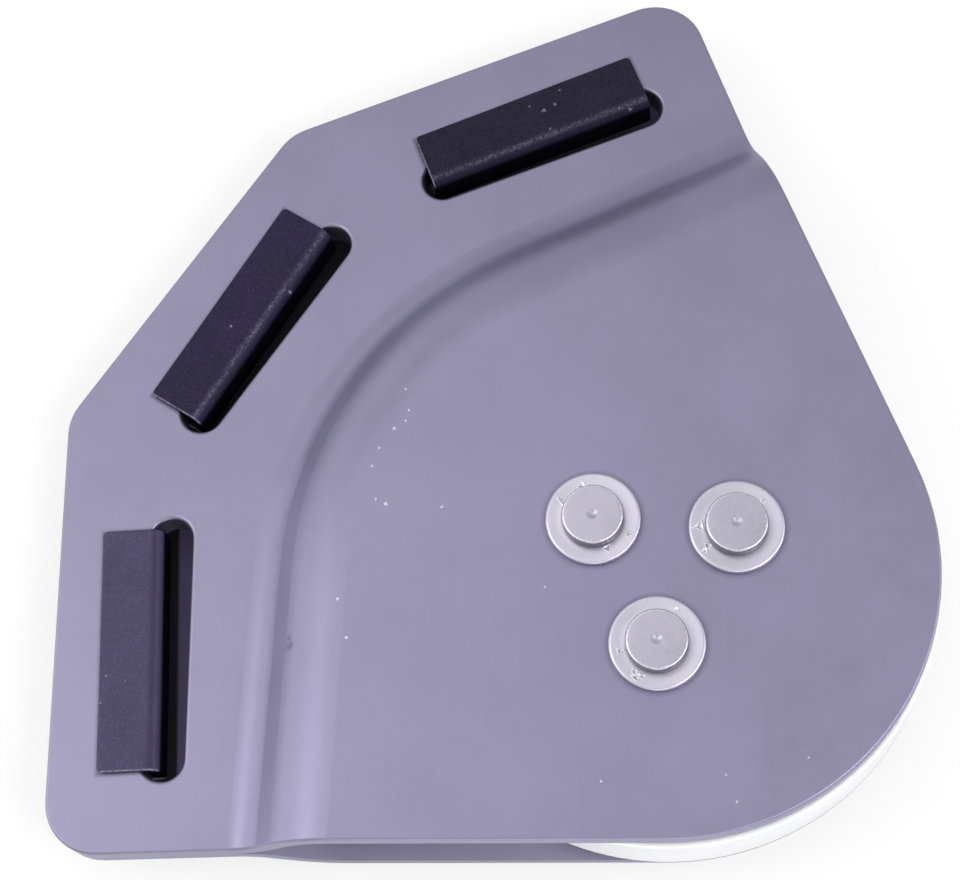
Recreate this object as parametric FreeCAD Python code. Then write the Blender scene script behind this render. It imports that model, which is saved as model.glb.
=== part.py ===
"""Webbing clew block: two joggled cheek plates round a rope sheave on a ball race.

The origin is the centre of the sheave, in the plane where the two flanges meet.
+Z is the sheave axis, towards the front cheek, and +Y points from the sheave to
the middle webbing slot. All sizes are in millimetres, all angles in degrees.
"""
import FreeCAD, Part
import math
import os

from FreeCAD import Vector

# Sheave
sheave_diameter = 100.0
sheave_side_clearance = 0.9
rope_groove_radius = 7.0
sheave_lip_rounding = 0.6
sheave_recess_rim = 5.0
sheave_recess_wall = 2.5
sheave_recess_depth = 0.8

# Ball race between the sheave and the fixed hub
ball_diameter = 8.0
ball_gap = 0.5
ball_pitch_radius = 29.0
race_clearance = 0.08
race_shoulder_depth = 2.4
race_edge_chamfer = 0.5

# Cheek plates: two pressed sheets, back to back at the flange
plate_thickness = 3.5
cheek_gap = 19.0
sheave_overhang = 0.7
cheek_side_angle = 124.3
flange_side_angle = 125.8
flange_side_inset = 1.8
side_blend_radius = 80.0
slotted_edge_angle = 35.5
outer_corner_radius = 10.0
chamfer_corner_radius = 10.0
plate_edge_rounding = 0.5

# Joggle: the step from the flange up to the raised cheek
joggle_foot_clearance = 26.5
joggle_line_angle = 32.0
joggle_slope = 44.0
joggle_foot_bend_radius = 8.0
joggle_top_bend_radius = 16.0

# Webbing slots through the flange
slot_length = 50.0
slot_width = 8.0
slot_land = 11.7
slot_margin = 17.4
side_slot_offset = 10.0
slot_edge_rounding = 0.8

# Channel-shaped liners over the outer edges of the slots
liner_end_play = 4.0
liner_web = 2.0
liner_lip = 1.2
liner_grip = 9.5
liner_bearing_radius = 1.6
liner_edge_rounding = 0.4
liner_face_clearance = 0.1

# Each liner lies loose in its slot: its name, the slot's direction, how far along
# the slot and how far back from the slot's outer edge it sits, and its skew
liner_places = (
    ("left", slotted_edge_angle, -0.2, 1.1, 1.4),
    ("middle", 0.0, -0.3, 2.2, 2.6),
    ("right", -slotted_edge_angle, -0.2, 2.6, 1.0),
)

# Rivets and their washers
rivet_circle_radius = 14.9
rivet_count = 3
rivet_shank_diameter = 8.0
rivet_hole_clearance = 0.1
rivet_head_diameter = 11.3
rivet_head_height = 3.0
rivet_head_rounding = 0.6
rivet_dimple_diameter = 1.8
rivet_dimple_depth = 0.5
washer_diameter = 17.0
washer_thickness = 1.3
washer_edge_rounding = 0.5
washer_bore_clearance = 0.2

# Sizes that follow from the ones above
sheave_radius = sheave_diameter / 2
sheave_half_width = cheek_gap / 2 - sheave_side_clearance
ball_radius = ball_diameter / 2
ball_count = int(math.pi / math.asin((ball_diameter + ball_gap) / (2 * ball_pitch_radius)))
cheek_radius = sheave_radius - sheave_overhang
cheek_inner_face = cheek_gap / 2
cheek_outer_face = cheek_inner_face + plate_thickness
joggle_foot_distance = sheave_radius + joggle_foot_clearance
slot_inner_edge_distance = joggle_foot_distance + slot_land
slot_outer_edge_distance = slot_inner_edge_distance + slot_width
slotted_edge_distance = slot_outer_edge_distance + slot_margin
flange_side_distance = cheek_radius - flange_side_inset
rivet_hole_radius = rivet_shank_diameter / 2 + rivet_hole_clearance
washer_face = cheek_outer_face + washer_thickness

origin = Vector(0, 0, 0)
sheave_axis = Vector(0, 0, 1)


def across(angle):
    """Unit vector in the plan, turned by angle from +Y towards -X."""
    turn = math.radians(angle)
    return Vector(-math.sin(turn), math.cos(turn), 0)


def along(angle):
    """Unit vector in the plan at a right angle to across, turned by angle from +X towards +Y."""
    turn = math.radians(angle)
    return Vector(math.cos(turn), math.sin(turn), 0)


def arc(centre_r, centre_z, radius, start, end):
    """Arc in the section plane as a tuple of three points, from start to end degrees from +X."""
    points = []
    for angle in (start, (start + end) / 2, end):
        turn = math.radians(angle)
        points.append(Vector(centre_r + radius * math.cos(turn), 0, centre_z + radius * math.sin(turn)))
    return tuple(points)


def at(r, z):
    """Point of the section plane, at radius r and height z."""
    return Vector(r, 0, z)


def closed_wire(steps):
    """Closed wire through the steps: a point, or an arc given as a tuple of three points."""
    edges = []
    first = steps[0][0] if isinstance(steps[0], tuple) else steps[0]
    last = first
    for step in list(steps) + [first]:
        target = step[0] if isinstance(step, tuple) else step
        if (target - last).Length > 1e-7:
            edges.append(Part.LineSegment(last, target).toShape())
        last = target
        if isinstance(step, tuple):
            edges.append(Part.Arc(*step).toShape())
            last = step[-1]
    return Part.Wire(edges)


def turned(steps):
    """Solid made by turning a closed section once round the sheave axis."""
    return Part.Face(closed_wire(steps)).revolve(origin, sheave_axis, 360)


def meet(first_angle, first_distance, second_angle, second_distance):
    """Point where two plan lines meet, each given by its normal's angle and its distance."""
    first = across(first_angle)
    second = across(second_angle)
    spread = first.x * second.y - first.y * second.x
    x = (first_distance * second.y - second_distance * first.y) / spread
    y = (first.x * second_distance - second.x * first_distance) / spread
    return Vector(x, y, 0)


def rounded_corner(before, corner, after, radius):
    """Arc of the given radius that rounds a corner of the plan outline."""
    back = (before - corner).normalize()
    ahead = (after - corner).normalize()
    half = back.getAngle(ahead) / 2
    bisector = (back + ahead).normalize()
    reach = radius / math.tan(half)
    centre = corner + bisector * (radius / math.sin(half))
    return corner + back * reach, centre - bisector * radius, corner + ahead * reach


def outline_wire():
    """Plan outline of both plates: an arc round the sheave, flaring sides, three slotted edges."""
    tangent = across(-cheek_side_angle) * cheek_radius
    kink = meet(-cheek_side_angle, cheek_radius, -flange_side_angle, flange_side_distance)
    outer = meet(-flange_side_angle, flange_side_distance, -slotted_edge_angle, slotted_edge_distance)
    chamfer = meet(-slotted_edge_angle, slotted_edge_distance, 0, slotted_edge_distance)
    right = [tangent, kink, outer, chamfer]
    points = right + [Vector(-p.x, p.y, 0) for p in reversed(right)]
    radii = [side_blend_radius, outer_corner_radius, chamfer_corner_radius]
    corners = zip(points, points[1:], points[2:], radii + radii[::-1])
    steps = [rounded_corner(before, corner, after, radius) for before, corner, after, radius in corners]
    steps.append((points[-1], Vector(0, -cheek_radius, 0), points[0]))
    return closed_wire(steps)


def joggle_top_distance():
    """Distance from the sheave axis at which the raised cheek becomes flat."""
    slope = math.radians(joggle_slope)
    radii = joggle_foot_bend_radius + joggle_top_bend_radius
    ramp = (cheek_inner_face - radii * (1 - math.cos(slope))) / math.sin(slope)
    return joggle_foot_distance - radii * math.sin(slope) - ramp * math.cos(slope)


def plate_section(reach):
    """Section of the joggled plate, from the sheave axis out past the flange's edge."""
    top = joggle_top_distance()
    foot_z = plate_thickness + joggle_foot_bend_radius
    top_z = cheek_outer_face - joggle_top_bend_radius
    steps = [
        at(reach, 0),
        at(reach, plate_thickness),
        arc(joggle_foot_distance, foot_z, joggle_foot_bend_radius, 270, 270 - joggle_slope),
        arc(top, top_z, joggle_top_bend_radius, 90 - joggle_slope, 90),
        at(0, cheek_outer_face),
        at(0, cheek_inner_face),
        arc(top, top_z, joggle_top_bend_radius - plate_thickness, 90, 90 - joggle_slope),
        arc(joggle_foot_distance, foot_z, joggle_foot_bend_radius + plate_thickness, 270 - joggle_slope, 270),
    ]
    return Part.Face(closed_wire(steps))


def joggled_sheet():
    """Sheet larger than the plate: the section turned round the sheave, then run straight to each side."""
    reach = 2 * slotted_edge_distance
    section = plate_section(reach)
    right_start = section.rotated(origin, sheave_axis, 90 - joggle_line_angle)
    left_start = section.rotated(origin, sheave_axis, 90 + joggle_line_angle)
    curved = right_start.revolve(origin, sheave_axis, 2 * joggle_line_angle)
    right_run = right_start.extrude(along(-joggle_line_angle) * reach)
    left_run = left_start.extrude(along(joggle_line_angle) * -reach)
    middle = Part.makeCylinder(joggle_top_distance(), plate_thickness, at(0, cheek_inner_face))
    return curved.fuse([right_run, left_run, middle]).removeSplitter()


def skin_rim(plate, least_tilt):
    """Edges where an upright wall meets the plate's skin, where the skin's normal rises enough."""
    walls = []
    rim = []
    for face in plate.Faces:
        u_low, u_high, v_low, v_high = face.ParameterRange
        tilt = face.normalAt((u_low + u_high) / 2, (v_low + v_high) / 2).z
        if abs(tilt) < 1e-3:
            walls.extend(face.Edges)
        elif tilt > least_tilt:
            rim.extend(face.Edges)
    return [edge for edge in rim if any(edge.isSame(wall) for wall in walls)]


def slot_tool(angle, offset):
    """Obround prism through both flanges, its length parallel to the slotted edge."""
    height = 4 * plate_thickness
    radius = slot_width / 2
    half = slot_length / 2 - radius
    base = Part.makeBox(2 * half, slot_width, height, Vector(-half, -radius, -height / 2))
    ends = [Part.makeCylinder(radius, height, Vector(x, 0, -height / 2)) for x in (-half, half)]
    slot = base.fuse(ends).removeSplitter()
    slot.translate(Vector(offset, slot_inner_edge_distance + radius, 0))
    return slot.rotated(origin, sheave_axis, angle)


def slot_offset(angle):
    """How far a slot's middle lies to the right of the foot of its edge's normal."""
    if angle == 0:
        return 0.0
    return math.copysign(side_slot_offset, -angle)


def rivet_centres():
    """Plan positions of the rivets, the first on the line towards the middle slot."""
    return [across(360 * i / rivet_count) * rivet_circle_radius for i in range(rivet_count)]


def front_cheek():
    """Front plate: joggled sheet inside the outline, rims rounded, with webbing slots and rivet holes."""
    height = 2 * cheek_outer_face
    prism = Part.Face(outline_wire()).extrude(Vector(0, 0, height))
    prism.translate(Vector(0, 0, -plate_thickness))
    plate = joggled_sheet().common(prism)
    plate = plate.makeFillet(plate_edge_rounding, skin_rim(plate, 0.1))
    slots = [slot_tool(angle, slot_offset(angle)) for name, angle, *place in liner_places]
    plate = plate.cut(slots)
    flat_skin = 0.999
    plate = plate.makeFillet(slot_edge_rounding, skin_rim(plate, flat_skin))
    holes = [Part.makeCylinder(rivet_hole_radius, height, centre) for centre in rivet_centres()]
    return plate.cut(holes)


def behind(shape):
    """The same piece on the rear side, mirrored in the plane between the flanges."""
    return shape.mirror(origin, sheave_axis)


def sheave():
    """Sheave: rope groove round the rim, race groove in the bore, shallow recess in each side."""
    race_radius = ball_radius + race_clearance
    bore = ball_pitch_radius + ball_radius - race_shoulder_depth
    race_half = math.degrees(math.acos((bore - ball_pitch_radius) / race_radius))
    recess_inner = ball_pitch_radius + race_radius + sheave_recess_wall
    recess_outer = sheave_radius - sheave_recess_rim
    face = sheave_half_width
    floor = face - sheave_recess_depth
    lip = sheave_lip_rounding
    chamfer = race_edge_chamfer
    steps = [
        arc(ball_pitch_radius, 0, race_radius, -race_half, race_half),
        at(bore, face - chamfer),
        at(bore + chamfer, face),
        at(recess_inner, face),
        at(recess_inner + sheave_recess_depth, floor),
        at(recess_outer - sheave_recess_depth, floor),
        at(recess_outer, face),
        arc(sheave_radius - lip, face - lip, lip, 90, 0),
        arc(sheave_radius, 0, rope_groove_radius, 90, 270),
        arc(sheave_radius - lip, lip - face, lip, 0, -90),
        at(recess_outer, -face),
        at(recess_outer - sheave_recess_depth, -floor),
        at(recess_inner + sheave_recess_depth, -floor),
        at(recess_inner, -face),
        at(bore + chamfer, -face),
        at(bore, chamfer - face),
    ]
    return turned(steps)


def front_hub():
    """Front half of the fixed hub: inner race for the balls, clamped between the cheeks by the rivets."""
    race_radius = ball_radius + race_clearance
    shoulder = ball_pitch_radius - ball_radius + race_shoulder_depth
    race_half = math.degrees(math.acos((ball_pitch_radius - shoulder) / race_radius))
    steps = [
        at(0, 0),
        arc(ball_pitch_radius, 0, race_radius, 180, 180 - race_half),
        at(shoulder, cheek_inner_face - race_edge_chamfer),
        at(shoulder - race_edge_chamfer, cheek_inner_face),
        at(0, cheek_inner_face),
    ]
    holes = [Part.makeCylinder(rivet_hole_radius, cheek_gap, centre) for centre in rivet_centres()]
    return turned(steps).cut(holes)


def ball(number):
    """One ball of the race."""
    return Part.makeSphere(ball_radius, across(360 * number / ball_count) * ball_pitch_radius)


def rivet(centre):
    """Set rivet: shank through both cheeks and the hub, a flat head each end, a dimple in the front one."""
    shank = rivet_shank_diameter / 2
    head = rivet_head_diameter / 2
    crown = washer_face + rivet_head_height
    rounding = rivet_head_rounding
    steps = [
        at(0, -crown),
        arc(head - rounding, rounding - crown, rounding, -90, 0),
        at(head, -washer_face),
        at(shank, -washer_face),
        at(shank, washer_face),
        at(head, washer_face),
        arc(head - rounding, crown - rounding, rounding, 0, 90),
        at(rivet_dimple_diameter / 2, crown),
        at(0, crown - rivet_dimple_depth),
    ]
    return turned(steps).translated(centre)


def front_washer(centre):
    """Round washer under a rivet head, its outer edge rounded on the side away from the cheek."""
    bore = rivet_shank_diameter / 2 + washer_bore_clearance
    radius = washer_diameter / 2
    rounding = washer_edge_rounding
    steps = [
        at(bore, cheek_outer_face),
        at(radius, cheek_outer_face),
        arc(radius - rounding, washer_face - rounding, rounding, 0, 90),
        at(bore, washer_face),
    ]
    return turned(steps).translated(centre)


def slot_liner(angle, shift, setback, skew):
    """Channel over the slot's outer edge: its rounded web is what the webbing bears on."""
    length = slot_length - liner_end_play
    mouth = plate_thickness + liner_face_clearance
    face = mouth + liner_lip
    end = liner_web + liner_grip
    bend = liner_bearing_radius
    section = [
        at(end, mouth),
        at(liner_web, mouth),
        at(liner_web, -mouth),
        at(end, -mouth),
        at(end, -face),
        arc(bend, bend - face, bend, 270, 180),
        arc(bend, face - bend, bend, 180, 90),
        at(end, face),
    ]
    liner = Part.Face(closed_wire(section)).extrude(Vector(0, length, 0))
    liner.translate(Vector(-liner_web, -length / 2, 0))
    ends = [edge for edge in liner.Edges if abs(abs(edge.CenterOfMass.y) - length / 2) < 1e-6]
    rims = [edge for edge in ends if edge.BoundBox.ZMax > mouth + 1e-3 or edge.BoundBox.ZMin < -mouth - 1e-3]
    rims = [edge for edge in rims if edge.Length > liner_lip + 1e-3]
    liner = liner.makeFillet(liner_edge_rounding, rims)
    liner.rotate(origin, sheave_axis, 90 + skew)
    liner.translate(Vector(slot_offset(angle) + shift, slot_outer_edge_distance - setback, 0))
    return liner.rotated(origin, sheave_axis, angle)


def write(name, shape):
    """One STEP file per piece, named after it."""
    shape.exportStep(os.path.join("parts", name + ".step"))
    print(name, "solids", len(shape.Solids), "valid", shape.isValid(), "volume", round(shape.Volume, 1))


os.makedirs("parts", exist_ok=True)
cheek = front_cheek()
write("front_cheek", cheek)
write("rear_cheek", behind(cheek))
write("sheave", sheave())
hub = front_hub()
write("front_hub", hub)
write("rear_hub", behind(hub))
for number in range(ball_count):
    write(f"ball_{number + 1:02d}", ball(number))
for number, centre in enumerate(rivet_centres(), 1):
    write(f"rivet_{number}", rivet(centre))
    write(f"front_washer_{number}", front_washer(centre))
    write(f"rear_washer_{number}", behind(front_washer(centre)))
for name, angle, shift, setback, skew in liner_places:
    write(f"{name}_slot_liner", slot_liner(angle, shift, setback, skew))
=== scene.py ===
import math
import bpy
import numpy as np
from mathutils import Matrix, Vector


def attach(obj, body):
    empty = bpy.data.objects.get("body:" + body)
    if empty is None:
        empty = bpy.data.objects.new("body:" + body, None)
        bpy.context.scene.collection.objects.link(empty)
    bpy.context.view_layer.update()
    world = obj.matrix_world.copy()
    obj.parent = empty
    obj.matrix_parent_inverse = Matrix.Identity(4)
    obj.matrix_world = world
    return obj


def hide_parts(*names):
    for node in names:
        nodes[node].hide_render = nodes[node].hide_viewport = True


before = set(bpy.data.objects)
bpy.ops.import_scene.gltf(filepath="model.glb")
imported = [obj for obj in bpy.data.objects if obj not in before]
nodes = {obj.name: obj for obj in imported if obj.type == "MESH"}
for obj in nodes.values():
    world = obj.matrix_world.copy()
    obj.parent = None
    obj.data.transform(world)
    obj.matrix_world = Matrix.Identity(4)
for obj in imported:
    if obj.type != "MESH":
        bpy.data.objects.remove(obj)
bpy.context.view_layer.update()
scene = bpy.context.scene
mm = 0.001
print("frame loaded:", len(nodes), "nodes")

# camera: the photograph's own view, from just off the sheave's side, with the slots up and to the left
cameraSetup = {
    "place": (-0.08797, -0.06548, 0.38077),
    "right": (0.57182, -0.81462, -0.09701),
    "down": (-0.7883, -0.51287, -0.33992),
    "forward": (0.22716, 0.27085, -0.93544),
    "lens": 79.907,
    "sensor": 36.0,
}


def makeCamera():
    cam = bpy.data.cameras.new("camera")
    holder = bpy.data.objects.new("camera", cam)
    scene.collection.objects.link(holder)
    right, down, forward = (Vector(cameraSetup[key]) for key in ("right", "down", "forward"))
    turn = Matrix((right, -down, -forward)).transposed().to_4x4()
    turn.translation = Vector(cameraSetup["place"])
    holder.matrix_world = turn
    cam.lens = cameraSetup["lens"]
    cam.sensor_width = cameraSetup["sensor"]
    cam.clip_start = 0.01
    scene.camera = holder


makeCamera()


# node helpers: each socket takes a plain value or another node's output; s0, s1 and so on give the socket's
# number, and any other name is the socket's own with _ for a space
def addNode(tree, kind, settings=None, **sockets):
    node = tree.nodes.new(kind)
    for key, value in (settings or {}).items():
        setattr(node, key, value)
    for key, value in sockets.items():
        name = int(key[1:]) if key[0] == "s" and key[1:].isdigit() else key.replace("_", " ")
        if isinstance(value, bpy.types.NodeSocket):
            tree.links.new(value, node.inputs[name])
        else:
            node.inputs[name].default_value = value
    return node


def noise(tree, vector, scale, detail=3.0, roughness=0.5, distortion=0.0):
    made = addNode(tree, "ShaderNodeTexNoise", None, Vector=vector, Scale=scale, Detail=detail,
                   Roughness=roughness, Distortion=distortion)
    return made.outputs["Fac"]


def remap(tree, value, low, high, outLow, outHigh, kind="LINEAR"):
    made = addNode(tree, "ShaderNodeMapRange", {"interpolation_type": kind}, Value=value, s1=low, s2=high,
                   s3=outLow, s4=outHigh)
    return made.outputs["Result"]


def calc(tree, operation, first, second=0.0):
    return addNode(tree, "ShaderNodeMath", {"operation": operation}, s0=first, s1=second).outputs[0]


def mixColour(tree, factor, first, second, blend="MIX"):
    made = tree.nodes.new("ShaderNodeMix")
    made.data_type = "RGBA"
    made.blend_type = blend
    for slot, value in ((0, factor), (6, first), (7, second)):
        if isinstance(value, bpy.types.NodeSocket):
            tree.links.new(value, made.inputs[slot])
        else:
            made.inputs[slot].default_value = value
    return made.outputs[2]


def mixEvenly(tree, first, second):
    return calc(tree, "ADD", calc(tree, "MULTIPLY", first, 0.5), calc(tree, "MULTIPLY", second, 0.5))


def readShare(tree, name):
    # a share that a piece's mesh stores for each vertex
    return addNode(tree, "ShaderNodeAttribute", {"attribute_name": name}).outputs["Fac"]


def splitPlace(tree, vector):
    return addNode(tree, "ShaderNodeSeparateXYZ", None, Vector=vector).outputs


def bumpFrom(tree, height, strength, distance, below=None):
    made = addNode(tree, "ShaderNodeBump", None, Strength=strength, Distance=distance, Height=height)
    if below is not None:
        tree.links.new(below, made.inputs["Normal"])
    return made.outputs["Normal"]


def objectPlace(tree, centre=(0, 0, 0), turn=0.0, stretch=(1, 1, 1)):
    # the object's own coordinates, from the centre, along axes turned in the plan and stretched
    place = tree.nodes.new("ShaderNodeTexCoord").outputs["Object"]
    made = addNode(tree, "ShaderNodeMapping", {"vector_type": "TEXTURE"}, Vector=place)
    made.inputs["Location"].default_value = centre
    made.inputs["Rotation"].default_value = (0, 0, turn)
    made.inputs["Scale"].default_value = stretch
    return made.outputs["Vector"]


def planDistance(tree, place, x, y):
    # distance in the plan from the point x, y given in mm
    flat = addNode(tree, "ShaderNodeVectorMath", {"operation": "MULTIPLY"}, s0=place, s1=(1, 1, 0)).outputs[0]
    return addNode(tree, "ShaderNodeVectorMath", {"operation": "DISTANCE"}, s0=flat,
                   s1=(x * mm, y * mm, 0)).outputs["Value"]


def newMaterial(name, colour, metallic, roughness):
    material = bpy.data.materials.new(name)
    material.use_nodes = True
    shader = material.node_tree.nodes["Principled BSDF"]
    shader.inputs["Base Color"].default_value = (*colour, 1)
    shader.inputs["Metallic"].default_value = metallic
    shader.inputs["Roughness"].default_value = roughness
    return material, material.node_tree, shader


def dress(piece, material):
    piece.data.materials.clear()
    piece.data.materials.append(material)


# the rivets' places in mm: three on a circle round the sheave's axis
rivetCircle = 14.9
rivetAngles = [math.radians(120 * k) for k in range(3)]
rivetPlaces = [(-math.sin(a) * rivetCircle, math.cos(a) * rivetCircle) for a in rivetAngles]

# the liner's section in mm: x runs outwards from the bearing face, z through the sheet
linerShape = {
    "web": 2.0,
    "reach": 11.5,
    "mouth": 3.6,
    "face": 4.8,
    "bend": 2.6,
    "lipRound": 0.45,
    "mouthRound": 0.2,
    "long": 46.0,
    "endRound": 0.42,
    "cornerRound": 1.0,
    # the width of the lips that their corners' rounding reaches, and the walls' unevenness
    "lipSpan": 3.0,
    "wave": 0.03,
    # the distance from the sheave's axis to the slots' outer edges
    "outerEdge": 96.2,
}
# each liner: the slot's direction in degrees, its shift along the slot, its distance in from the slot's outer
# edge, and its skew in degrees
linerPlaces = {
    "left": (35.5, -10.2, 1.1, 1.4),
    "middle": (0.0, -0.3, 2.2, 2.6),
    "right": (-35.5, 9.8, 2.6, 1.0),
}

# anodised plate: violet grey, fine blasted grain, faint rolling streaks, soft blotches and a few pale nicks
plateFinish = {
    "tone": (0.287, 0.270, 0.389),
    "darkTone": (0.265, 0.25, 0.36),
    "nickTone": (0.78, 0.76, 0.86),
    "roughness": (0.40, 0.48),
    "blotchScale": 55.0,
    "grainScale": 1500.0,
    "streakScale": 620.0,
    "streakTurn": math.radians(35.0),
    "streakStretch": 28.0,
    "streakShare": 0.15,
    # the greatest share of the pale tone in the grain and in a nick, and of grime in a scuff
    "speckleShare": 0.1,
    "nickShare": 0.7,
    "scuffShare": 0.5,
    # strength and height in m of the relief
    "grainRelief": (0.12, 0.00006),
    "streakRelief": (0.03, 0.00003),
    # the tone of the painted shade round the washers and liners, and of the real scuffs
    "grimeTone": (0.12, 0.11, 0.17),
    # painted shade round a washer, where it meets the plate: its share beside the rim, and the radii in mm
    # between which it fades
    "washerGrime": (0.42, 8.8, 9.7),
    # painted shade round a liner: its share beside the lip, and its width in mm
    "linerGrime": (0.85, 0.8),
    # the inner faces are matter: how metallic and how rough they are
    "innerMetallic": 0.3,
    "innerRoughness": 0.7,
    # flecks of dust: cells for each metre, the share of cells that hold one, and its share of the pale tone
    "fleckScale": 150.0,
    "fleckShare": 0.1,
    "fleckStrength": 0.4,
    # two dark scuffs on the slope: x, y and radius in mm
    "scuffs": ((-49.3, 48.3, 0.9), (-48.2, 49.4, 0.6)),
    # the pale nicks that show most: x, y and radius in mm
    "nicks": (
        (-5.5, 55.8, 0.3), (-10.2, 55.8, 0.26), (-13.7, 54.9, 0.22), (-3.1, 54.8, 0.22),
        (-1.1, 55.6, 0.2), (2.1, 58.6, 0.22), (-18.3, 48.4, 0.36), (-18.6, 50.5, 0.22),
        (-13.1, 39.4, 0.24), (-15.2, 15.1, 0.22), (-37.8, 45.2, 0.26), (-42.7, 39.5, 0.26),
        (-38.7, -12.8, 0.2), (-28.6, -34.2, 0.22), (-25.7, -30.1, 0.22), (-15.2, -40.2, 0.2),
    ),
}


def nickMask(tree, place, spots):
    # one soft dot for each spot, its edge roughened by noise so that it isn't round
    total = None
    wobble = remap(tree, noise(tree, place, 2600.0, 2.0), 0.3, 0.7, 0.5, 1.5)
    for x, y, radius in spots:
        reach = calc(tree, "DIVIDE", planDistance(tree, place, x, y), radius * mm)
        dot = remap(tree, calc(tree, "MULTIPLY", reach, wobble), 0.6, 1.0, 1.0, 0.0)
        total = dot if total is None else calc(tree, "MAXIMUM", total, dot)
    return total


def linerDistance(tree, side):
    # distance in the plan from the outline of a liner's lip, max(|x| - half, |y| - half) from its middle
    shape = linerShape
    direction, shift, setback, skew = linerPlaces[side]
    d = math.radians(direction)
    out = shape["outerEdge"] - setback
    x = shift * math.cos(d) - out * math.sin(d)
    y = shift * math.sin(d) + out * math.cos(d)
    split = splitPlace(tree, objectPlace(tree, (x * mm, y * mm, 0), math.radians(direction + 90 + skew)))
    halfReach, halfLong = shape["reach"] / 2, shape["long"] / 2
    beside = calc(tree, "ABSOLUTE", calc(tree, "SUBTRACT", split[0], (halfReach - shape["web"]) * mm))
    beyond = calc(tree, "ABSOLUTE", split[1])
    return calc(tree, "MAXIMUM", calc(tree, "SUBTRACT", beside, halfReach * mm),
                calc(tree, "SUBTRACT", beyond, halfLong * mm))


def makePlateMaterial(name, spots, inwards):
    # inwards is 1 where the other cheek lies above this one and -1 where it lies below
    setup = plateFinish
    material, tree, shader = newMaterial(name, setup["tone"], 1.0, 0.4)
    place = objectPlace(tree)
    along = objectPlace(tree, turn=setup["streakTurn"], stretch=(setup["streakStretch"], 1, 1))
    blotch = noise(tree, place, setup["blotchScale"], 4.0, 0.55)
    streak = noise(tree, along, setup["streakScale"], 3.0, 0.6)
    grain = noise(tree, place, setup["grainScale"], 4.0, 0.6)
    share = calc(tree, "ADD", calc(tree, "MULTIPLY", blotch, 1.0 - setup["streakShare"]),
                 calc(tree, "MULTIPLY", streak, setup["streakShare"]))
    share = remap(tree, share, 0.38, 0.62, 0.0, 1.0)
    pale, shadeAndScuff = (*setup["nickTone"], 1), (*setup["grimeTone"], 1)
    colour = mixColour(tree, share, (*setup["darkTone"], 1), (*setup["tone"], 1))
    speckle = remap(tree, grain, 0.62, 0.8, 0.0, setup["speckleShare"])
    colour = mixColour(tree, speckle, colour, pale)
    # tiny scattered flecks of dust and bare metal
    cells = addNode(tree, "ShaderNodeTexVoronoi", None, Vector=place, Scale=setup["fleckScale"],
                    Randomness=1.0)
    chance = addNode(tree, "ShaderNodeSeparateColor", None, Color=cells.outputs["Color"]).outputs[0]
    picked = calc(tree, "GREATER_THAN", chance, 1.0 - setup["fleckShare"])
    fleck = calc(tree, "MULTIPLY", remap(tree, cells.outputs["Distance"], 0.012, 0.026, 1.0, 0.0), picked)
    colour = mixColour(tree, calc(tree, "MULTIPLY", fleck, setup["fleckStrength"]), colour, pale)
    if spots:
        dots = calc(tree, "MULTIPLY", nickMask(tree, place, spots), setup["nickShare"])
        colour = mixColour(tree, dots, colour, pale)
    # a thin line of painted shade where each washer meets the plate
    most, start, end = setup["washerGrime"]
    for x, y in rivetPlaces:
        grime = remap(tree, planDistance(tree, place, x, y), start * mm, end * mm, most, 0.0)
        colour = mixColour(tree, grime, colour, shadeAndScuff)
    # and, on the front plate with its nicks and scuffs, painted shade round each liner
    if spots:
        most, width = setup["linerGrime"]
        for side in linerPlaces:
            grime = remap(tree, linerDistance(tree, side), 0.0, width * mm, most, 0.0)
            colour = mixColour(tree, grime, colour, shadeAndScuff)
        scuff = calc(tree, "MULTIPLY", nickMask(tree, place, setup["scuffs"]), setup["scuffShare"])
        colour = mixColour(tree, scuff, colour, shadeAndScuff)
    tree.links.new(colour, shader.inputs["Base Color"])
    low, high = setup["roughness"]
    rough = remap(tree, mixEvenly(tree, blotch, grain), 0.35, 0.65, low, high)
    # an inner face is one whose own normal points to the other cheek
    normal = splitPlace(tree, tree.nodes.new("ShaderNodeTexCoord").outputs["Normal"])[2]
    inner = remap(tree, calc(tree, "MULTIPLY", normal, inwards), 0.2, 0.6, 0.0, 1.0)
    tree.links.new(remap(tree, inner, 0.0, 1.0, 1.0, setup["innerMetallic"]), shader.inputs["Metallic"])
    rough = calc(tree, "MAXIMUM", rough, calc(tree, "MULTIPLY", inner, setup["innerRoughness"]))
    tree.links.new(rough, shader.inputs["Roughness"])
    relief = bumpFrom(tree, grain, *setup["grainRelief"])
    relief = bumpFrom(tree, streak, *setup["streakRelief"], relief)
    tree.links.new(relief, shader.inputs["Normal"])
    return material


dress(nodes["front_cheek"], makePlateMaterial("anodisedFrontPlate", plateFinish["nicks"], -1.0))
dress(nodes["rear_cheek"], makePlateMaterial("anodisedRearPlate", (), 1.0))
print("plates dressed")

# what all turned pieces share: the tone of painted shade in a corner, the near-white of painted highlights on
# edges and nick lips, and the relief's strength and its height in m
turnedLook = {
    "grime": (0.05, 0.045, 0.07, 1),
    "rubbedAndHighlight": (0.97, 0.97, 1.0, 1),
    "grainScale": 2200.0,
    "blotchScale": 160.0,
    "grainRelief": (0.14, 0.00003),
    "ringRelief": (0.05, 0.00001),
}


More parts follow.
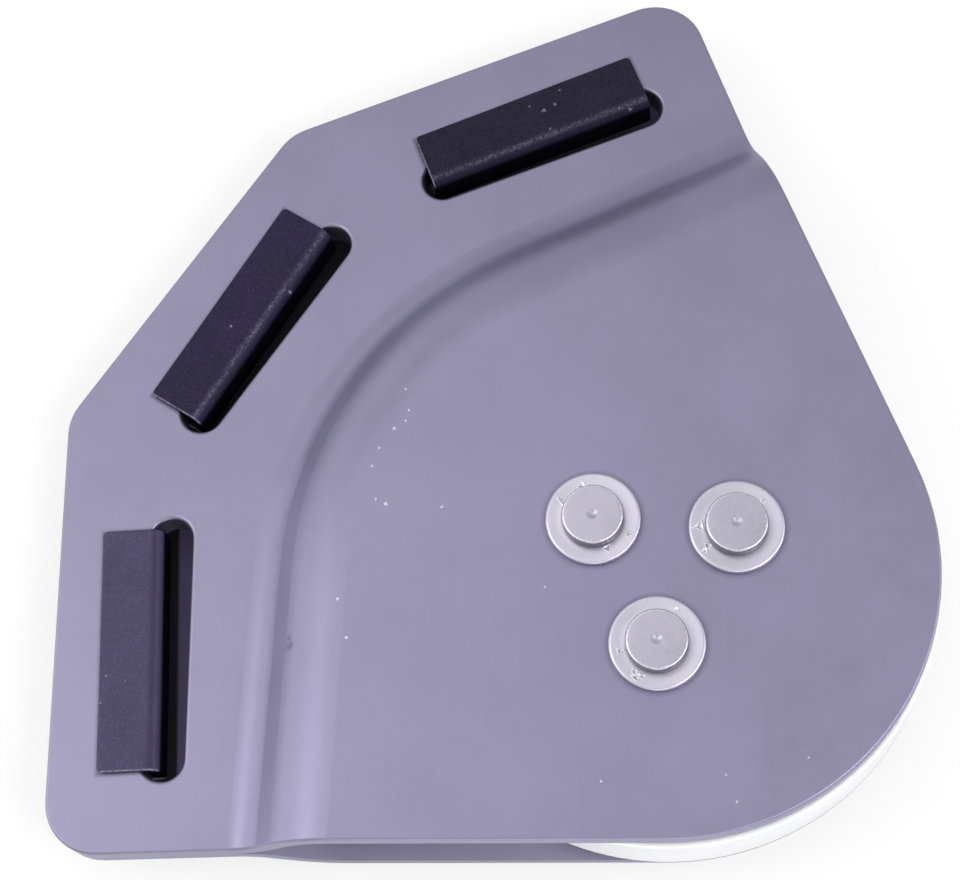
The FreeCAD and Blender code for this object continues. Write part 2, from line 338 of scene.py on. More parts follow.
def makeTurnedMaterial(name, setup, metallic, centre=(0, 0, 0)):
    material, tree, shader = newMaterial(name, setup["tone"], metallic, sum(setup["roughness"]) / 2)
    place = objectPlace(tree, centre)
    radius = planDistance(tree, place, 0, 0)
    rings = addNode(tree, "ShaderNodeTexNoise", {"noise_dimensions": "1D"}, W=radius,
                    Scale=1.0 / setup["ringPitch"], Detail=3.0, Roughness=0.7).outputs["Fac"]
    grain = noise(tree, place, turnedLook["grainScale"], 3.0)
    blotch = noise(tree, place, turnedLook["blotchScale"], 3.0)
    share = calc(tree, "ADD", calc(tree, "MULTIPLY", rings, setup["ringShare"]),
                 calc(tree, "MULTIPLY", mixEvenly(tree, blotch, grain), 1.0 - setup["ringShare"]))
    shade = tuple(c * setup.get("shade", 0.93) for c in setup["tone"])
    colour = mixColour(tree, remap(tree, share, 0.35, 0.65, 0.0, 1.0), (*shade, 1), (*setup["tone"], 1))
    if "wall" in setup:
        # painted shade darkens the corner where the rivet's wall stands on the washer
        start, end, most = setup["wall"]
        grime = remap(tree, radius, start * mm, end * mm, 0.0, most)
        colour = mixColour(tree, grime, colour, turnedLook["grime"])
    if "rim" in setup:
        # painted highlight: the head's edge is brightened
        middleOfRim, halfWidth = setup["rim"]
        reach = calc(tree, "ABSOLUTE", calc(tree, "SUBTRACT", radius, middleOfRim * mm))
        bright = calc(tree, "MULTIPLY", remap(tree, reach, 0.0, halfWidth * mm, 0.6, 0.0),
                      remap(tree, grain, 0.35, 0.6, 0.4, 1.0))
        colour = mixColour(tree, bright, colour, turnedLook["rubbedAndHighlight"])
    if "rearRim" in setup:
        # painted shade darkens the rear flange's outer edge
        inner, start, end, dark = setup["rearRim"]
        grime = remap(tree, splitPlace(tree, place)[2], start * mm, end * mm, 0.0, 1.0)
        grime = calc(tree, "MULTIPLY", grime, calc(tree, "GREATER_THAN", radius, inner * mm))
        colour = mixColour(tree, grime, colour, (*dark, 1))
    if setup.get("shine"):
        # painted highlight: the nicks' raised lips are brightened
        rubbedAndHighlight = calc(tree, "MULTIPLY", readShare(tree, "shine"), remap(tree, grain, 0.4, 0.6, 0.15, 0.8))
        colour = mixColour(tree, rubbedAndHighlight, colour, turnedLook["rubbedAndHighlight"])
    tree.links.new(colour, shader.inputs["Base Color"])
    low, high = setup["roughness"]
    rough = remap(tree, mixEvenly(tree, rings, grain), 0.35, 0.65, low, high)
    tree.links.new(rough, shader.inputs["Roughness"])
    relief = bumpFrom(tree, rings, *setup.get("ringRelief", turnedLook["ringRelief"]))
    relief = bumpFrom(tree, grain, *turnedLook["grainRelief"], relief)
    tree.links.new(relief, shader.inputs["Normal"])
    return material


# acetal sheave: white, satin, with faint turning rings; "rearRim" is where painted shade on its rear flange's
# edge starts, a radius and two heights in mm, and its tone
sheaveFinish = {
    "tone": (0.80, 0.80, 0.82),
    "roughness": (0.3, 0.42),
    "ringPitch": 0.35 * mm,
    "ringShare": 0.6,
    "rearRim": (49.4, -7.1, -7.3, (0.1, 0.095, 0.13)),
}
dress(nodes["sheave"], makeTurnedMaterial("acetalSheave", sheaveFinish, 0.0))

# hubs and balls: turned aluminium and polished steel, seen only in the gaps
hubFinish = {
    "tone": (0.72, 0.72, 0.74),
    "roughness": (0.22, 0.34),
    "ringPitch": 0.25 * mm,
    "ringShare": 0.6,
}
ballFinish = {
    "tone": (0.78, 0.78, 0.8),
    "roughness": (0.08, 0.16),
    "ringPitch": 0.8 * mm,
    "ringShare": 0.3,
    "shade": 0.97,
}
hubMetal = makeTurnedMaterial("turnedHubMetal", hubFinish, 1.0)
ballSteel = makeTurnedMaterial("polishedBallSteel", ballFinish, 1.0)
for name, node in nodes.items():
    if name.endswith("_hub"):
        dress(node, hubMetal)
    if name.startswith("ball_"):
        dress(node, ballSteel)
print("sheave, hubs and balls dressed")


# new pieces: a closed profile carried round an axis, worked out as whole arrays
def turnedSurface(name, radii, heights, centre, steps, relief=None):
    # point = centre + (r cos a, r sin a, h + relief(x, y, row)); a profile that starts and ends on the axis
    # gets one pole vertex at each end, any other profile is joined last row to first
    angle = np.arange(steps) * (2 * np.pi / steps)
    radii, heights = np.asarray(radii, float), np.asarray(heights, float)
    onAxis = radii[0] == 0 and radii[-1] == 0
    r = radii[1:-1] if onAxis else radii
    h = heights[1:-1] if onAxis else heights
    x = np.outer(r, np.cos(angle))
    y = np.outer(r, np.sin(angle))
    z = np.repeat(h[:, None], steps, axis=1)
    if relief is not None:
        z = z + relief(x, y, np.repeat(np.arange(len(r))[:, None], steps, axis=1))
    points = np.stack([x + centre[0], y + centre[1], z], axis=2).reshape(-1, 3)
    rows = len(r)
    ring = np.arange(steps)
    nextRing = (ring + 1) % steps
    row = np.arange(rows - 1 if onAxis else rows)
    rowNext = (row + 1) % rows
    this, following = row[:, None] * steps, rowNext[:, None] * steps
    quads = np.stack([this + ring, following + ring, following + nextRing, this + nextRing], axis=2)
    faces = quads.reshape(-1, 4).tolist()
    if onAxis:
        first, last = len(points), len(points) + 1
        poles = [[centre[0], centre[1], heights[0]], [centre[0], centre[1], heights[-1]]]
        points = np.vstack([points, poles])
        base = (rows - 1) * steps
        faces += np.stack([np.full(steps, first), ring, nextRing], axis=1).tolist()
        faces += np.stack([base + ring, np.full(steps, last), base + nextRing], axis=1).tolist()
    mesh = bpy.data.meshes.new(name)
    mesh.from_pydata((points * mm).tolist(), [], faces)
    mesh.update()
    mesh.shade_smooth()
    mesh.set_sharp_from_angle(angle=math.radians(50))
    piece = bpy.data.objects.new(name, mesh)
    scene.collection.objects.link(piece)
    return piece


def roundedRun(corners, radii, arcSteps=7, runStep=0.25):
    # profile through the corners, each corner rounded by its radius and each straight run divided evenly
    corners = [np.asarray(c, float) for c in corners]
    pieces = []
    for k, corner in enumerate(corners):
        radius = radii[k]
        if radius == 0:
            pieces.append(corner[None, :])
            continue
        before = corners[k - 1] - corner
        after = corners[(k + 1) % len(corners)] - corner
        before, after = before / np.linalg.norm(before), after / np.linalg.norm(after)
        half = math.acos(float(np.clip(before @ after, -1, 1))) / 2
        reach = radius / math.tan(half)
        t = np.linspace(0, 1, arcSteps)[:, None]
        start, end = corner + before * reach, corner + after * reach
        # quadratic blend from tangent to tangent, its middle point drawn in a little to come close to the arc
        pull = corner + (start + end - 2 * corner) * 0.09
        pieces.append((1 - t) ** 2 * start + 2 * t * (1 - t) * pull + t ** 2 * end)
    out = [pieces[0]]
    for piece in pieces[1:]:
        gap = np.linalg.norm(piece[0] - out[-1][-1])
        count = max(1, int(gap / runStep))
        t = np.linspace(0, 1, count + 1)[1:-1, None]
        out.append(out[-1][-1] * (1 - t) + piece[0] * t)
        out.append(piece)
    return np.vstack(out)


# the cheeks' outer faces and the sizes of washers and rivets, in mm
cheekFace = 13.0
washerShape = {
    "outer": 8.65,
    "inner": 4.2,
    "thick": 1.15,
    "rim": 0.5,
    "foot": 0.2,
    "dish": 0.08,
    "bow": 0.012,
    # steps round the washer, and the length in mm of a step along its section
    "frontSteps": 560,
    "frontRun": 0.1,
    "rearSteps": 120,
    "rearRun": 0.4,
}
rivetShape = {
    "head": 5.6,
    "height": 2.5,
    "round": 0.42,
    "shank": 4.0,
    "dimple": 1.0,
    "dimpleDepth": 0.3,
    "dimpleRound": 0.4,
    "seatRound": 0.12,
    "crown": 0.05,
    "steps": 160,
    "run": 0.3,
}
# a nick's pit and raised lip in mm, and over its size the lip's place, its width and the width of its shine
nickShape = {"pit": 0.10, "lip": 0.05, "lipPlace": 1.1, "lipWidth": 0.2, "shineWidth": 0.22}
# punch nicks on the front washers: angle from the head's centre in degrees, radius, size, turn in degrees
washerNicks = {
    1: ((52, 6.55, 0.42, 95), (92, 6.5, 0.46, 40), (279, 7.0, 0.36, 10), (238, 6.2, 0.4, 60)),
    2: ((137, 6.7, 0.34, 20), (183, 7.2, 0.42, 50), (176, 6.5, 0.3, 0), (4, 7.0, 0.26, 80),
        (190, 6.6, 0.26, 30)),
    3: ((124, 6.6, 0.5, 75), (159, 6.3, 0.34, 20), (162, 7.3, 0.3, 70), (348, 6.6, 0.3, 0)),
}


def nickEdges(x, y, spots):
    # greatest of the distances to a nick's three sides over its size: under 1 is inside the nick
    edges = []
    for angle, radius, size, turn in spots:
        cx, cy = radius * math.cos(math.radians(angle)), radius * math.sin(math.radians(angle))
        sides = [math.radians(turn + k * 120) for k in range(3)]
        reaches = [(x - cx) * math.cos(s) + (y - cy) * math.sin(s) for s in sides]
        edges.append(np.max(reaches, axis=0) / size)
    return edges


def lipRise(edge, width):
    # 1 along the lip, falling off on both sides as a bell curve
    return np.exp(-((edge - nickShape["lipPlace"]) / width) ** 2)


def nickRelief(x, y, spots):
    # each nick is a three-sided pit, deepest in its middle, with a raised lip round it
    total = np.zeros_like(x)
    for edge in nickEdges(x, y, spots):
        total -= nickShape["pit"] * np.clip(1 - edge, 0, 1)
        total += nickShape["lip"] * lipRise(edge, nickShape["lipWidth"])
    return total


def nickShine(x, y, spots):
    # 1 on the lip of a nick, which carries a painted highlight, falling to 0 away from it
    return np.max([lipRise(edge, nickShape["shineWidth"]) for edge in nickEdges(x, y, spots)], axis=0)


def storeShare(mesh, name, values):
    # one number for each vertex, which a material reads by the same name
    stored = mesh.attributes.new(name, "FLOAT", "POINT").data
    stored.foreach_set("value", np.asarray(values, np.float32).ravel())


def washer(number, front):
    setup = washerShape
    centre = rivetPlaces[number - 1]
    steps, run = (setup["frontSteps"], setup["frontRun"]) if front else (setup["rearSteps"], setup["rearRun"])
    low, high = cheekFace, cheekFace + setup["thick"]
    corners = [(setup["inner"], low), (setup["outer"], low), (setup["outer"], high), (setup["inner"], high)]
    profile = roundedRun(corners, (0, setup["foot"], setup["rim"], 0), 9, run)
    radii, heights = profile[:, 0], profile[:, 1]
    span = np.clip((radii - setup["inner"]) / (setup["outer"] - setup["inner"]), 0, 1)
    upper = heights > low + 0.6 * setup["thick"]
    heights = heights - np.where(upper, setup["dish"] * np.sin(np.pi * span) ** 2, 0)
    spots = washerNicks[number]

    def relief(x, y, row):
        bow = setup["bow"] * np.sin(3 * np.arctan2(y, x) + number)
        return np.where(upper[row], nickRelief(x, y, spots) + bow, 0.0)

    name = f"{'front' if front else 'rear'}Washer{number}"
    piece = turnedSurface(name, radii, heights, centre, steps, relief if front else None)
    angle = np.arange(steps) * (2 * np.pi / steps)
    x, y = np.outer(radii, np.cos(angle)), np.outer(radii, np.sin(angle))
    shine = nickShine(x, y, spots) * upper[:, None]
    storeShare(piece.data, "shine", shine if front else np.zeros_like(shine))
    if not front:
        mirrorBehind(piece)
    return piece


def mirrorBehind(piece):
    # the same piece on the other side: z changes sign, and each face is turned over so that it points out
    mesh = piece.data
    places = np.empty(len(mesh.vertices) * 3)
    mesh.vertices.foreach_get("co", places)
    places = places.reshape(-1, 3) * (1, 1, -1)
    mesh.vertices.foreach_set("co", places.ravel())
    mesh.flip_normals()
    mesh.update()


def rivet(number):
    setup = rivetShape
    centre = rivetPlaces[number - 1]
    seat = cheekFace + washerShape["thick"]
    top = seat + setup["height"]
    edge = top - setup["crown"]
    upper = [(0, top - setup["dimpleDepth"]), (setup["dimple"], top), (setup["head"], edge),
             (setup["head"], seat), (setup["shank"], seat)]
    radii = (0, setup["dimpleRound"], setup["round"], setup["seatRound"], 0)
    profile = roundedRun(upper, radii, 8, setup["run"])
    whole = np.vstack([profile, (profile * (1, -1))[::-1]])
    return turnedSurface(f"rivet{number}", whole[:, 0], whole[:, 1], centre, setup["steps"])


# peened steel: "wall" is where painted shade begins and where it is strongest, as radii in mm, and its
# greatest share; "rim" is the radius in mm of the painted highlight on the edge and its half width
rivetFinish = {
    "tone": (0.50, 0.48, 0.575),
    "roughness": (0.3, 0.44),
    "ringPitch": 0.5 * mm,
    "ringShare": 0.15,
    "shade": 0.82,
    "wall": (5.45, 5.6, 0.65),
    "rim": (5.28, 0.2),
    "ringRelief": (0.03, 0.00001),
}
washerFinish = {
    "tone": (0.625, 0.603, 0.705),
    "roughness": (0.32, 0.42),
    "ringPitch": 1.1 * mm,
    "ringShare": 0.2,
    "shade": 0.84,
    "wall": (6.0, 5.55, 0.45),
    "shine": True,
    "ringRelief": (0.04, 0.00001),
}
for number in (1, 2, 3):
    x, y = rivetPlaces[number - 1]
    middle = (x * mm, y * mm, 0)
    headSteel = makeTurnedMaterial(f"rivetSteel{number}", rivetFinish, 1.0, middle)
    washerSteel = makeTurnedMaterial(f"washerSteel{number}", washerFinish, 1.0, middle)
    pin = rivet(number)
    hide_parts(f"rivet_{number}")
    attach(pin, "block")
    dress(pin, headSteel)
    for front in (True, False):
        ring = washer(number, front)
        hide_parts(f"{'front' if front else 'rear'}_washer_{number}")
        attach(ring, "block")
        dress(ring, washerSteel)
print("rivets and washers made")

# moulded slot liners: near black with a violet cast, satin, lightly grained, with rubbed edges that also
# carry a painted highlight, and pale specks, which are given by x, y and radius in mm; the three are one
# plastic, and the left one's lighter tone is painted sheen
linerFinish = {
    "left": {
        # painted sheen: this tone is lighter than the other liners', though all three are one plastic
        "tone": (0.048, 0.041, 0.085),
        "rubbedAndHighlight": (0.17, 0.155, 0.23),
        "gloss": 0.3,
        "edge": 0.05,
        "grain": 0.75,
        "bendShadowShare": 0.5,
        "specks": ((-72.4, 74.9, 0.22), (-71.2, 71.4, 0.2), (-77.0, 72.6, 0.26)),
    },
    "middle": {
        "tone": (0.018, 0.0145, 0.038),
        "rubbedAndHighlight": (0.19, 0.175, 0.24),
        "gloss": 0.12,
        "edge": 0.55,
        "grain": 0.35,
        "specks": ((8.4, 92.8, 0.34), (-4.0, 97.8, 0.26), (3.6, 93.9, 0.2)),
    },
    "right": {
        "tone": (0.014, 0.012, 0.027),
        "rubbedAndHighlight": (0.17, 0.16, 0.22),
        "gloss": 0.1,
        "edge": 0.5,
        "grain": 0.3,
        "specks": ((67.5, 72.8, 0.5), (73.0, 72.7, 0.28), (66.8, 75.7, 0.22), (69.8, 71.7, 0.42),
                   (77.2, 58.7, 0.34), (64.7, 69.4, 0.24), (76.0, 60.5, 0.2)),
    },
}
# what all three liners share: tones of the painted highlight on the pale end and of the painted shade on the
# wall inside the slot, the tint of the gloss, how dark the clouds and the painted shade along the bend are
# against the tone, and the relief's strength and its height in m
linerLook = {
    "end": (0.42, 0.40, 0.5, 1),
    "slotWallShade": (0.003, 0.0025, 0.006, 1),
    "glossTint": (0.78, 0.72, 1.0, 1),
    "roughness": (0.34, 0.46),
    "cloudShade": 0.6,
    "bendShade": 0.4,
    "blotchScale": 150.0,
    "grainScale": 1700.0,
    "fineScale": 3400.0,
    "grainRelief": (0.22, 0.00008),
    "blotchRelief": (0.12, 0.0003),
}


def makeLinerMaterial(side):
    setup, look = linerFinish[side], linerLook
    material, tree, shader = newMaterial(f"{side}LinerPlastic", setup["tone"], 0.0, 0.36)
    place = objectPlace(tree)
    grain = noise(tree, place, look["grainScale"], 4.0, 0.65)
    blotch = noise(tree, place, look["blotchScale"], 4.0, 0.6)
    fine = noise(tree, place, look["fineScale"], 3.0, 0.6)
    bearing, ends, slotWallShade = (readShare(tree, name) for name in ("rubbedAndHighlight", "ends", "slotWallShade"))
    rub = calc(tree, "MULTIPLY", remap(tree, grain, 0.52, 0.72, 0.0, 1.0),
               remap(tree, blotch, 0.42, 0.62, 0.1, 0.5))
    rub = calc(tree, "MAXIMUM", rub, remap(tree, fine, 0.5, 0.75, 0.0, 0.45))
    rub = calc(tree, "MULTIPLY", rub, setup["grain"])
    edge = calc(tree, "MULTIPLY", bearing, remap(tree, grain, 0.4, 0.64, 0.1, 1.0))
    edge = calc(tree, "MULTIPLY", edge, setup["edge"])
    share = calc(tree, "MAXIMUM", rub, edge)
    share = calc(tree, "MAXIMUM", share, nickMask(tree, place, setup["specks"]))
    colour = mixColour(tree, share, (*setup["tone"], 1), (*setup["rubbedAndHighlight"], 1))
    cloudTone = (*[c * look["cloudShade"] for c in setup["tone"]], 1)
    colour = mixColour(tree, remap(tree, blotch, 0.35, 0.65, 0.0, 0.35), colour, cloudTone)
    # painted shade: the left one is darker along its bend
    if "bendShadowShare" in setup:
        bendShadowTone = (*[c * look["bendShade"] for c in setup["tone"]], 1)
        colour = mixColour(tree, calc(tree, "MULTIPLY", bearing, setup["bendShadowShare"]), colour, bendShadowTone)
    # painted highlight on the pale end's rounded edge
    endHighlight = calc(tree, "MULTIPLY", ends, remap(tree, grain, 0.35, 0.6, 0.15, 0.8))
    colour = mixColour(tree, endHighlight, colour, look["end"])
    # painted shade: the wall inside the slot is almost black
    colour = mixColour(tree, slotWallShade, colour, look["slotWallShade"])
    tree.links.new(colour, shader.inputs["Base Color"])
    tree.links.new(remap(tree, blotch, 0.35, 0.65, *look["roughness"]), shader.inputs["Roughness"])
    # the painted shade on the wall also takes away its gloss
    tree.links.new(remap(tree, slotWallShade, 0.0, 1.0, setup["gloss"], 0.0), shader.inputs["Specular IOR Level"])
    shader.inputs["Specular Tint"].default_value = look["glossTint"]
    relief = bumpFrom(tree, grain, *look["grainRelief"])
    relief = bumpFrom(tree, blotch, *look["blotchRelief"], relief)
    tree.links.new(relief, shader.inputs["Normal"])
    return material


# wear and painted light of a liner in mm: the rubbed line's place, which also carries a painted highlight, in
# from the bearing face and down from the outer face, and its reach; the half height, fade and depth of the
# painted shade on the wall; and, as a share of the end's rounding, the painted highlight on the pale end
linerWear = {
    "rubIn": 1.5,
    "rubDown": 0.25,
    "rubReach": 0.8,
    "darkHalf": 3.4,
    "darkFade": 0.8,
    "darkDepth": 2.1,
    "end": 0.3,
}


def evenPath(points, count):
    # the same number of points, evenly spaced along the path
    step = np.linalg.norm(np.diff(points, axis=0), axis=1)
    run = np.concatenate([[0], np.cumsum(step)])
    spots = np.linspace(0, run[-1], count)
    return np.stack([np.interp(spots, run, points[:, k]) for k in range(2)], axis=1)


def linerSection():
    # half of the outer path from the lip's end round the bearing edge, then the half of the mouth beside it
    shape = linerShape
    t = np.linspace(0, np.pi / 2, 9)[:, None]
    lipCentre = [shape["reach"] - shape["lipRound"], shape["face"] - shape["lipRound"]]
    lip = lipCentre + shape["lipRound"] * np.hstack([np.cos(t), np.sin(t)])
    bendCentre = [shape["bend"], shape["face"] - shape["bend"]]
    bend = bendCentre + shape["bend"] * np.hstack([-np.sin(t), np.cos(t)])
    outer = np.vstack([[shape["reach"], shape["mouth"] + shape["mouthRound"]], lip, bend, [0, 0]])
    inner = np.array([[shape["reach"] - shape["mouthRound"], shape["mouth"]], [shape["web"], shape["mouth"]],
                      [shape["web"], 0]])
    flip = (1, -1)
    outer = np.vstack([outer, (outer * flip)[-2::-1]])
    inner = np.vstack([inner, (inner * flip)[-2::-1]])
    return evenPath(outer, 121), evenPath(inner, 121)


def slotLiner(side):
    # point = place + turn(x + e nx - c w(x), s, z + e nz): the section's path moved in by e along its normal
    # n at the ends, and the lips drawn back by c so that their corners are round in the plan
    shape = linerShape
    outer, inner = linerSection()
    loop = np.vstack([outer, inner[::-1]])
    count = len(outer)
    ahead, behind = np.roll(loop, -1, axis=0), np.roll(loop, 1, axis=0)
    tangent = (ahead - behind) / np.linalg.norm(ahead - behind, axis=1)[:, None]
    normal = np.stack([-tangent[:, 1], tangent[:, 0]], axis=1)
    half = shape["long"] / 2
    # fine steps round each corner, even steps between
    fine = np.sort(shape["cornerRound"] * np.sin(np.linspace(0, np.pi / 2, 15)) + half - shape["cornerRound"])
    along = np.concatenate([-fine[::-1], np.linspace(-fine[0], fine[0], 93)[1:-1], fine])
    past = np.clip(np.abs(along) - (half - shape["endRound"]), 0, shape["endRound"])
    inset = shape["endRound"] - np.sqrt(shape["endRound"] ** 2 - past ** 2)
    past = np.clip(np.abs(along) - (half - shape["cornerRound"]), 0, shape["cornerRound"])
    drawn = shape["cornerRound"] - np.sqrt(shape["cornerRound"] ** 2 - past ** 2)
    lips = np.clip((loop[:, 0] - shape["reach"] + shape["lipSpan"]) / shape["lipSpan"], 0, 1)
    # moulded walls are a little uneven
    wave = shape["wave"] * np.sin(along[:, None] * 0.21 + loop[None, :, 0] * 0.3)
    wave = wave * np.sin(along[:, None] * 0.083 + 1.0)
    off = inset[:, None] - wave
    x = loop[None, :, 0] + off * normal[None, :, 0] - drawn[:, None] * lips[None, :]
    z = loop[None, :, 1] + off * normal[None, :, 1]
    y = np.repeat(along[:, None], len(loop), axis=1)
    direction, shift, setback, skew = linerPlaces[side]
    a = math.radians(90 + skew)
    acrossSlot = (x - shape["web"]) * math.cos(a) - y * math.sin(a) + shift
    outwards = (x - shape["web"]) * math.sin(a) + y * math.cos(a) + shape["outerEdge"] - setback
    d = math.radians(direction)
    points = np.stack([acrossSlot * math.cos(d) - outwards * math.sin(d),
                       acrossSlot * math.sin(d) + outwards * math.cos(d), z], axis=2).reshape(-1, 3)
    rows, columns = x.shape
    row = np.arange(rows - 1)[:, None]
    column = np.arange(columns)[None, :]
    after = (column + 1) % columns
    this, following = row * columns, (row + 1) * columns
    faces = np.stack([this + column, following + column, following + after, this + after], axis=2)
    faces = faces.reshape(-1, 4)
    # each end is closed by quads between the outer path and the mouth's path
    k = np.arange(count - 1)
    facing = columns - 1 - k
    base = (rows - 1) * columns
    first = np.stack([k, k + 1, facing - 1, facing], axis=1)
    last = np.stack([base + k, base + facing, base + facing - 1, base + k + 1], axis=1)
    mesh = bpy.data.meshes.new(f"{side}SlotLiner")
    mesh.from_pydata((points * mm).tolist(), [], np.vstack([faces, first, last]).tolist())
    mesh.update()
    mesh.shade_smooth()
    mesh.set_sharp_from_angle(angle=math.radians(40))
    # the webbing rubs the rounded edges of the web; this rubbed line also carries a painted highlight
    wear = linerWear
    corner = np.hypot(loop[:, 0] - wear["rubIn"], np.abs(loop[:, 1]) - shape["face"] + wear["rubDown"])
    rubbedAndHighlight = np.clip(1.1 - corner / wear["rubReach"], 0, 1)
    storeShare(mesh, "rubbedAndHighlight", np.repeat(rubbedAndHighlight[None, :], rows, axis=0))
    # painted shade: the wall inside the slot stays dark
    inside = np.clip((wear["darkHalf"] - np.abs(loop[:, 1])) / wear["darkFade"], 0, 1)
    inside = inside * (loop[:, 0] < wear["darkDepth"])
    storeShare(mesh, "slotWallShade", np.repeat(inside[None, :], rows, axis=0))
    # painted highlight: one end of each liner has a pale edge
    endHighlight = np.clip(1 - np.abs(inset / shape["endRound"] - wear["end"]) / wear["end"], 0, 1) * (along > 0)
    storeShare(mesh, "ends", np.repeat(endHighlight[:, None], columns, axis=1))
    piece = bpy.data.objects.new(f"{side}SlotLiner", mesh)
    scene.collection.objects.link(piece)
    return piece


for side in ("left", "middle", "right"):
    liner = slotLiner(side)
    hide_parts(f"{side}_slot_liner")
    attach(liner, "block")
    dress(liner, makeLinerMaterial(side))
print("slot liners made")

# floor: pale and matt, keeps the shadow; it lies as the block rests on it, on a rear rivet head and the rear
# cheek's raised edge, and strips of painted shadow lie on it under the slots
floorSetup = {
    "restY": 20.03 * mm,
    "restZ": -16.6 * mm,
    "slope": 0.093,
    "half": 3.0,
    "cells": 8,
    "tone": (0.9, 0.9, 0.9),
    # the two tones of the paper's grain
    "grain": ((0.89, 0.89, 0.89, 1), (0.91, 0.91, 0.91, 1)),
    "grainScale": 900.0,
    "paleShare": 0.66,
    # the strips fade out between these two values of how far the view leans from straight down
    "lean": (0.2, 0.45),
    # each strip of painted shadow: both ends in mm, tone, half width and how far its edge fades in mm
    "strips": (
        ((-77.4, 60.4), (-43.2, 84.8), (0.17, 0.145, 0.28), 9.0, 6.0),
        ((-81.0, 61.5), (-39.0, 92.7), (0.004, 0.003, 0.008), 4.2, 0.7),
        ((-22, 96.2), (27, 96.2), (0.02, 0.016, 0.032), 9.0, 6.0),
        ((42.5, 91), (88, 58.6), (0.03, 0.025, 0.05), 9.0, 6.0),
    ),
}


def stripMask(tree, x0, y0, x1, y1, reach, fade):
    # 1 inside the strip: the distance from its centre line is the length of (max(|x| - half, 0), y), with x
    # along the line
    half = math.hypot(x1 - x0, y1 - y0) / 2 * mm
    middle = ((x0 + x1) / 2 * mm, (y0 + y1) / 2 * mm, 0)
    split = splitPlace(tree, objectPlace(tree, middle, math.atan2(y1 - y0, x1 - x0)))
    past = calc(tree, "MAXIMUM", calc(tree, "SUBTRACT", calc(tree, "ABSOLUTE", split[0]), half), 0.0)
    joined = addNode(tree, "ShaderNodeCombineXYZ", None, X=past, Y=split[1]).outputs[0]
    gap = addNode(tree, "ShaderNodeVectorMath", {"operation": "LENGTH"}, s0=joined).outputs["Value"]
    return remap(tree, gap, (reach - fade) * mm, reach * mm, 1.0, 0.0, "SMOOTHSTEP")


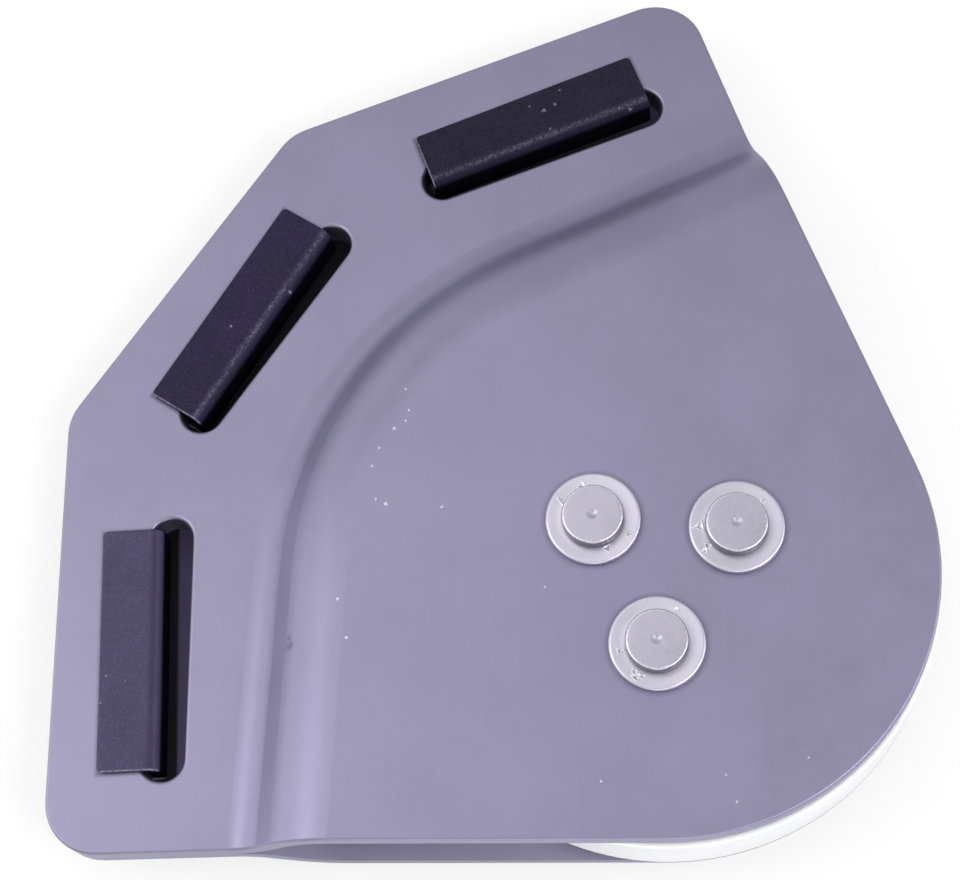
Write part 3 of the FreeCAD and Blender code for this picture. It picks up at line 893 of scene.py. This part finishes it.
def makeFloor():
    # point = (x, y, restZ + slope (y - restY)) on a square grid
    setup = floorSetup
    cells = setup["cells"]
    grid = np.linspace(-setup["half"], setup["half"], cells + 1)
    x, y = np.meshgrid(grid, grid)
    z = setup["restZ"] + (y - setup["restY"]) * setup["slope"]
    points = np.stack([x.ravel(), y.ravel(), z.ravel()], axis=1)
    k = (np.arange(cells)[:, None] * (cells + 1) + np.arange(cells)).ravel()
    mesh = bpy.data.meshes.new("floor")
    faces = np.stack([k, k + 1, k + cells + 2, k + cells + 1], axis=1)
    mesh.from_pydata(points.tolist(), [], faces.tolist())
    mesh.update()
    floor = bpy.data.objects.new("floor", mesh)
    scene.collection.objects.link(floor)
    material, tree, shader = newMaterial("paleFloor", setup["tone"], 0.0, 0.7)
    place = objectPlace(tree)
    dust = noise(tree, place, setup["grainScale"], 3.0)
    paper = mixColour(tree, remap(tree, dust, 0.4, 0.6, 0.0, 1.0), *setup["grain"])
    # the painted shadow shows under a steep view only, so that a low view has a plain floor round the block
    facing = tree.nodes.new("ShaderNodeLayerWeight").outputs["Facing"]
    steep = remap(tree, facing, *setup["lean"], 1.0, 0.0)
    slotShadow = 0.0
    for (x0, y0), (x1, y1), tone, reach, fade in setup["strips"]:
        strip = calc(tree, "MULTIPLY", stripMask(tree, x0, y0, x1, y1, reach, fade), steep)
        paper = mixColour(tree, strip, paper, (*tone, 1))
        slotShadow = calc(tree, "MAXIMUM", strip, slotShadow)
    tree.links.new(paper, shader.inputs["Base Color"])
    # the camera sees part of the paper's tone as plain white, so the backdrop stays pale round the shadow
    pale = addNode(tree, "ShaderNodeEmission", None, Strength=1.0)
    pale.inputs["Color"].default_value = (1, 1, 1, 1)
    rays = tree.nodes.new("ShaderNodeLightPath")
    share = calc(tree, "MULTIPLY", rays.outputs["Is Camera Ray"], setup["paleShare"])
    # where the painted shadow lies, the camera sees no plain white
    share = calc(tree, "MULTIPLY", share, calc(tree, "SUBTRACT", 1.0, slotShadow))
    lit = addNode(tree, "ShaderNodeMixShader", None, s0=share)
    tree.links.new(shader.outputs[0], lit.inputs[1])
    tree.links.new(pale.outputs[0], lit.inputs[2])
    # seen from below the floor isn't there, so a low view isn't blocked by it
    underside = tree.nodes.new("ShaderNodeNewGeometry").outputs["Backfacing"]
    clear = tree.nodes.new("ShaderNodeBsdfTransparent").outputs[0]
    below = addNode(tree, "ShaderNodeMixShader", None, s0=underside)
    tree.links.new(lit.outputs[0], below.inputs[1])
    tree.links.new(clear, below.inputs[2])
    tree.links.new(below.outputs[0], tree.nodes["Material Output"].inputs["Surface"])
    dress(floor, material)


# the room: how strongly it lights the block, and how pale the camera sees it, to meet the floor's far edge
worldSetup = {"light": 0.75, "seen": 0.9}


def makeWorld():
    world = bpy.data.worlds.new("paleRoom")
    scene.world = world
    world.use_nodes = True
    tree = world.node_tree
    back = tree.nodes["Background"]
    back.inputs["Color"].default_value = (1, 1, 1, 1)
    rays = tree.nodes.new("ShaderNodeLightPath")
    strength = remap(tree, rays.outputs["Is Camera Ray"], 0.0, 1.0, worldSetup["light"], worldSetup["seen"])
    tree.links.new(strength, back.inputs["Strength"])


# soft lamps: azimuth from the picture's right, counter-clockwise, elevation, watts, and size in m
lampSetup = {
    "distance": 0.9,
    "aim": (0.0, 0.025, 0.0),
    "lamps": (
        (120, 70, 0.362, 0.36),
        (180, 70, 0.15, 0.36),
        (185, 50, 1.5, 0.45),
        (324, 48, 2.309, 0.36),
        (170, 20, 0.75, 0.9),
        (130, 22, 0.28, 0.5),
        (0, 26, 1.35, 0.36),
        (180, 2, 1.1, 0.6),
        (275, 10, 1.4, 0.5),
    ),
}


def makeLamps():
    aim = Vector(lampSetup["aim"])
    right = Vector((cameraSetup["right"][0], cameraSetup["right"][1], 0)).normalized()
    up = Vector((-right.y, right.x, 0))
    for azimuth, elevation, watts, size in lampSetup["lamps"]:
        a, e = math.radians(azimuth), math.radians(elevation)
        toLamp = (right * math.cos(a) + up * math.sin(a)) * math.cos(e) + Vector((0, 0, math.sin(e)))
        name = f"lamp{azimuth}at{elevation}"
        light = bpy.data.lights.new(name, "AREA")
        light.shape = "DISK"
        light.size = size
        light.energy = watts
        holder = bpy.data.objects.new(name, light)
        scene.collection.objects.link(holder)
        holder.location = aim + toLamp * lampSetup["distance"]
        holder.rotation_mode = "QUATERNION"
        holder.rotation_quaternion = (-toLamp).to_track_quat("-Z", "Y")
        holder.visible_camera = False


makeFloor()
makeWorld()
makeLamps()
scene.view_settings.view_transform = "Standard"
print("floor, world and lamps set")
